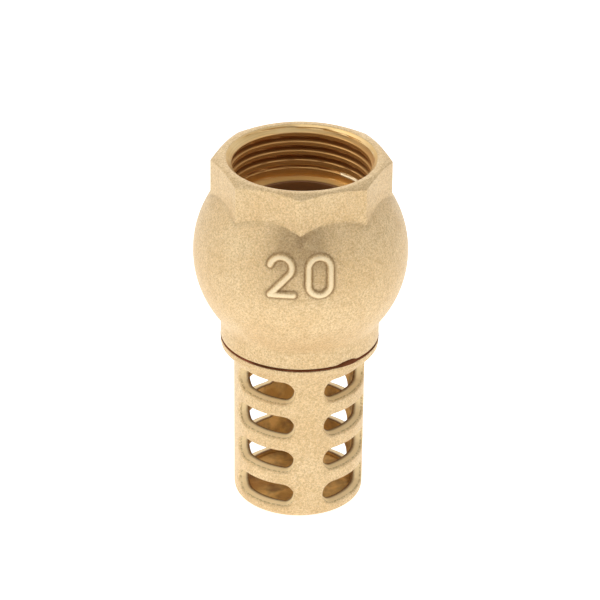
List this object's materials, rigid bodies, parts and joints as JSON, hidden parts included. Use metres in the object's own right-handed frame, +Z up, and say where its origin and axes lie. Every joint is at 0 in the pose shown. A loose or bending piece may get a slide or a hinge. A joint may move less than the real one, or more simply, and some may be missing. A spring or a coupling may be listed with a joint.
{
  "type": "foot valve",
  "caption": "Brass foot valve with an octagonal threaded outlet, round valve chamber, spring-loaded disc and slotted cylindrical strainer.",
  "frame": {"origin": "centre of the strainer's flat base, on the valve's axis", "axes": "+Z up along the valve's axis to the threaded outlet, -Y to the octagon corner above the size mark"},
  "size_m": [0.0376, 0.0381, 0.0659],
  "materials": {
    "cast_brass": "blasted, pale satin",
    "machined_brass": "turned, bright",
    "stainless_steel": "turned",
    "spring_wire": "drawn wire",
    "acetal": "turned, satin",
    "nitrile_rubber": "moulded, matt",
    "red_fibre": "pressed fibre"
  },
  "bodies": {
    "housing": {"upper_body": "cast_brass", "guide_spider": "machined_brass", "guide_ring": "stainless_steel", "guide_bush": "acetal", "closing_spring": "spring_wire", "joint_gasket": "red_fibre", "strainer": "cast_brass"},
    "plunger": {"valve_stem": "stainless_steel", "valve_disc": "machined_brass", "disc_seal": "nitrile_rubber", "seal_clamp": "machined_brass", "lock_washer": "stainless_steel", "stem_nut": "stainless_steel"}
  },
  "joints": [
    {"name": "disc_lift", "type": "slide", "parent": "housing", "child": "plunger", "axis": [0, 0, 1], "range_m": [0, 0.005], "stiffness_N_per_m": 100, "springref_m": -0.004, "deforming": ["closing_spring"]}
  ]
}
